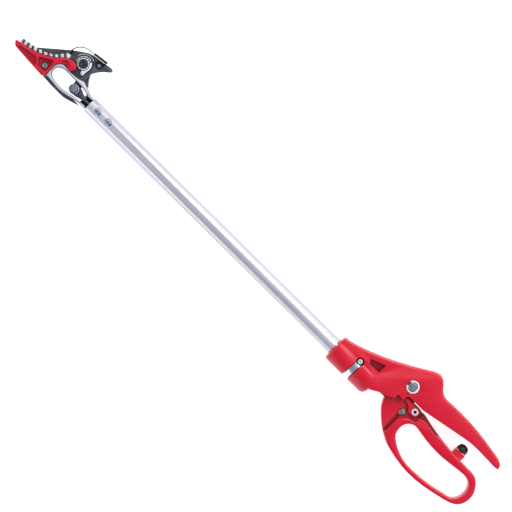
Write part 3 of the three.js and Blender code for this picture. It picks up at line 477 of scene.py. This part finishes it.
def smooth_line(points, per_span=8):
    """A Catmull-Rom curve through points (mm), as vectors in metres."""
    padded = [points[0], *points, points[-1]]
    line = []
    for i in range(1, len(padded) - 2):
        p0, p1, p2, p3 = (Vector(padded[i + k]) for k in (-1, 0, 1, 2))
        for step in range(per_span):
            t = step / per_span
            bend = 2 * p1 + (p2 - p0) * t + (2 * p0 - 5 * p1 + 4 * p2 - p3) * t * t
            line.append((bend + (3 * p1 - p0 - 3 * p2 + p3) * t**3) * 0.5 * MM)
    line.append(Vector(points[-1]) * MM)
    return line


def bead(name, surface, points, radius, body, material, way=FROM_ABOVE):
    """A raised moulded line: a thin round bar half sunk in the surface, tapered at both ends."""
    start = -way * RAY_START
    met = [surface.ray_cast(Vector((p.x, p.y, 0)) + start, way)[0] for p in smooth_line(points)]
    met = [p for p in met if p]
    verts, faces = [], []
    for i, p in enumerate(met):
        ahead = met[min(i + 1, len(met) - 1)] - met[max(i - 1, 0)]
        across = ahead.normalized().cross(way)
        share = min(i, len(met) - 1 - i) / TAPER_POINTS
        r = radius * MM * min(1.0, TAPER_END + (1 - TAPER_END) * share)
        for k in range(BEAD_SIDES):
            turn = 2 * math.pi * k / BEAD_SIDES
            verts.append(p + across * (r * math.cos(turn)) - way * (r * BEAD_RISE * math.sin(turn)))
    for i in range(len(met) - 1):
        for k in range(BEAD_SIDES):
            a, b = i * BEAD_SIDES + k, i * BEAD_SIDES + (k + 1) % BEAD_SIDES
            faces.append((a, b, b + BEAD_SIDES, a + BEAD_SIDES))
    faces.append(tuple(reversed(range(BEAD_SIDES))))
    faces.append(tuple(range(len(verts) - BEAD_SIDES, len(verts))))
    add_piece(name, verts, faces, body, material)


PALM_EDGE = [(-36, -14.0), (-50, -14.5), (-70, -13.6), (-90, -10.9), (-103, -8.6)]
PALM_SPANS = 24
PIP_STEP = 1.75
PIP_ROWS = (1.2, 2.6, 4.0, 5.4)  # how far in from the palm edge, on both flat faces
PIP_LEVELS = range(-4, 5)  # steps up from the middle plane, on the edge itself
PIP_SIDES = 7
PIP_RADIUS = 0.55
PIP_HEIGHT = 0.16
PIP_RINGS = ((1.0, -0.15), (0.72, 0.7))  # each ring's radius and height, as parts of the pip's
EDGE_RAY_START = 0.02


def domes(name, hits, body, material):
    """Small raised pips, each a closed low dome whose foot is just under the surface."""
    verts, faces = [], []
    for point, normal in hits:
        side = normal.orthogonal().normalized()
        other = normal.cross(side)
        first = len(verts)
        for ring, lift in PIP_RINGS:
            for k in range(PIP_SIDES):
                turn = 2 * math.pi * k / PIP_SIDES
                out = side * math.cos(turn) + other * math.sin(turn)
                verts.append(point + out * (PIP_RADIUS * ring * MM) + normal * (PIP_HEIGHT * lift * MM))
        verts.append(point + normal * (PIP_HEIGHT * MM))
        top = len(verts) - 1
        for k in range(PIP_SIDES):
            a, b = first + k, first + (k + 1) % PIP_SIDES
            faces.append((a, b, b + PIP_SIDES, a + PIP_SIDES))
            faces.append((a + PIP_SIDES, b + PIP_SIDES, top))
        faces.append(tuple(first + k for k in reversed(range(PIP_SIDES))))
    add_piece(name, verts, faces, body, material)


def palm_places():
    """Evenly spaced points along the grip's palm edge, with the direction across it."""
    line = smooth_line(PALM_EDGE, PALM_SPANS)
    places, due = [], 0.0
    for here, there in zip(line, line[1:]):
        run = (there - here).length
        while due < run:
            along = (there - here).normalized()
            places.append((here + along * due, Vector((along.y, -along.x))))
            due += PIP_STEP * MM
        due -= run
    return places


def grip_pips():
    """Rows of pips on the grip's palm edge and beside it. Every second place is shifted by half a step."""
    surface = surface_of("handle_body")
    hits = []
    for i, (place, inward) in enumerate(palm_places()):
        inward = inward if inward.y > 0 else -inward
        half = (i % 2) * PIP_STEP / 2
        for row in PIP_ROWS:
            at = place + inward * ((row + half) * MM)
            for way, z in ((FROM_ABOVE, RAY_START), (FROM_BELOW, -RAY_START)):
                point, normal, _, _ = surface.ray_cast(Vector((at.x, at.y, z)), way)
                if point:
                    hits.append((point, normal))
        inward = Vector((inward.x, inward.y, 0))
        outside = Vector((place.x, place.y, 0)) - inward * EDGE_RAY_START
        for level in PIP_LEVELS:
            height = MID_Z + level * PIP_STEP + half
            point, normal, _, _ = surface.ray_cast(outside + Vector((0, 0, height * MM)), inward)
            if point:
                hits.append((point, normal))
    domes("grip_pips", hits, "frame", OWN_MATERIAL["handle_body"])


ARM_LINE = [(-25.5, 18.2), (-28, 16.9), (-33, 16.2), (-39, 17.1), (-45.5, 18.4), (-48.5, 17.9), (-50.5, 16.6)]
ARM_LINE_RADIUS = 0.75


def lever_lines():
    """The raised line on each face of the lever's arm, coloured in the lighter red as a painted highlight."""
    surface = surface_of("lever")
    # the raised lines take the lighter red, a painted highlight along them
    red = moulded_red("red_line_highlight", 0.5, base=RED_RUBBED_AND_HIGHLIGHT)
    for way, face in ((FROM_ABOVE, "front"), (FROM_BELOW, "rear")):
        bead(f"arm_line_{face}", surface, ARM_LINE, ARM_LINE_RADIUS, "lever", red, way)


BLADE_PIVOT = (430.0, 1.2)
FORK_EYE = (420.2, 24.3)
ARC_STEPS = 14
# The rings' bright colour is a painted highlight on raised beads.
# Each ring's name, piece, body, centre, radius, first and last angle, and the bead's radius.
HIGHLIGHT_RINGS = (
    ("hub_ring", "gripper", "gripper", BLADE_PIVOT, 7.2, -112, 24, 0.28),
    ("fork_ring", "link_fork", "rod", FORK_EYE, 4.35, 150, 330, 0.3),
    ("blade_ring", "cutting_blade", "blade", BLADE_PIVOT, 9.6, -120, -8, 0.3),
)


def arc(centre, radius, start, end):
    turns = [math.radians(start + (end - start) * i / ARC_STEPS) for i in range(ARC_STEPS + 1)]
    return [(centre[0] + radius * math.cos(a), centre[1] + radius * math.sin(a)) for a in turns]


def highlight_rings():
    """Raised pressed rings on the gripper's hub, on the fork's eye and on the blade, made in the bright plate's
    colour as painted highlights.
    """
    for name, piece, body, centre, radius, start, end, bar in HIGHLIGHT_RINGS:
        bead(name, surface_of(piece), arc(centre, radius, start, end), bar, body, BRIGHT)


grip_pips()
lever_lines()
highlight_rings()

# ---------------------------------------------------------------- floor and light


MIDDLE = (0.2, 0.01, 0.014)
FLOOR_HALF = 4.0
FLOOR_PLACE = (0.2, 0.0, -0.1 * MM)
FLOOR_GLOW = 0.85
CEILING_TILT = math.radians(33)  # the grey ceiling is centred towards +Y, and the walls are white
CEILING = (0.37, 0.37, 0.45)
WALLS = (0.86, 0.86, 0.89)


def make_floor():
    """A white floor that glows a little, so that it stays white without burning out the tool."""
    mesh = bpy.data.meshes.new("floor")
    corners = [(x * FLOOR_HALF, y * FLOOR_HALF, 0) for x, y in ((-1, -1), (1, -1), (1, 1), (-1, 1))]
    mesh.from_pydata(corners, [], [(0, 1, 2, 3)])
    floor = bpy.data.objects.new("floor", mesh)
    floor.location = FLOOR_PLACE
    bpy.context.collection.objects.link(floor)
    made, tree, shader, place = new_material(
        "floor_white", Roughness=0.8, Emission_Color=(1, 1, 1, 1), Emission_Strength=FLOOR_GLOW
    )
    paper = noise(tree, place, 6.0, 3.0)
    link(tree, mixed(tree, paper, (0.60, 0.60, 0.61), (0.64, 0.64, 0.64)), shader, "Base Color")
    mesh.materials.append(made)


def area_light(name, place, width, height, power):
    """A white rectangular softbox that looks at the tool's middle."""
    data = bpy.data.lights.new(name, "AREA")
    data.shape = "RECTANGLE"
    data.size = width
    data.size_y = height
    data.energy = power
    light = bpy.data.objects.new(name, data)
    bpy.context.collection.objects.link(light)
    light.location = place
    light.rotation_mode = "QUATERNION"
    light.rotation_quaternion = (Vector(MIDDLE) - Vector(place)).to_track_quat("-Z", "Y")


def make_world():
    """Soft light from all round: white walls that turn into the grey ceiling."""
    world = bpy.data.worlds.new("studio")
    bpy.context.scene.world = world
    world.use_nodes = True
    tree = world.node_tree
    sky = tree.nodes["Background"]
    way = node(tree, "TexCoord").outputs["Generated"]
    ceiling_middle = (0.0, math.sin(CEILING_TILT), math.cos(CEILING_TILT))
    toward = vector_math(tree, "DOT_PRODUCT", way, ceiling_middle)["Value"]
    tone = mixed(tree, ramp(tree, toward, 0.5, 1.0, 0.0, 1.0), WALLS, CEILING)
    link(tree, tone, sky, "Color")
    sky.inputs["Strength"].default_value = 1.0


make_floor()
make_world()
area_light("key", (0.15, -1.3, 1.25), width=1.6, height=0.8, power=21.0)
area_light("fill", (0.3, 1.6, 0.25), width=1.6, height=0.3, power=1.5)
view = bpy.context.scene.view_settings
view.view_transform = "Standard"
view.look = "None"
view.exposure = 0.0
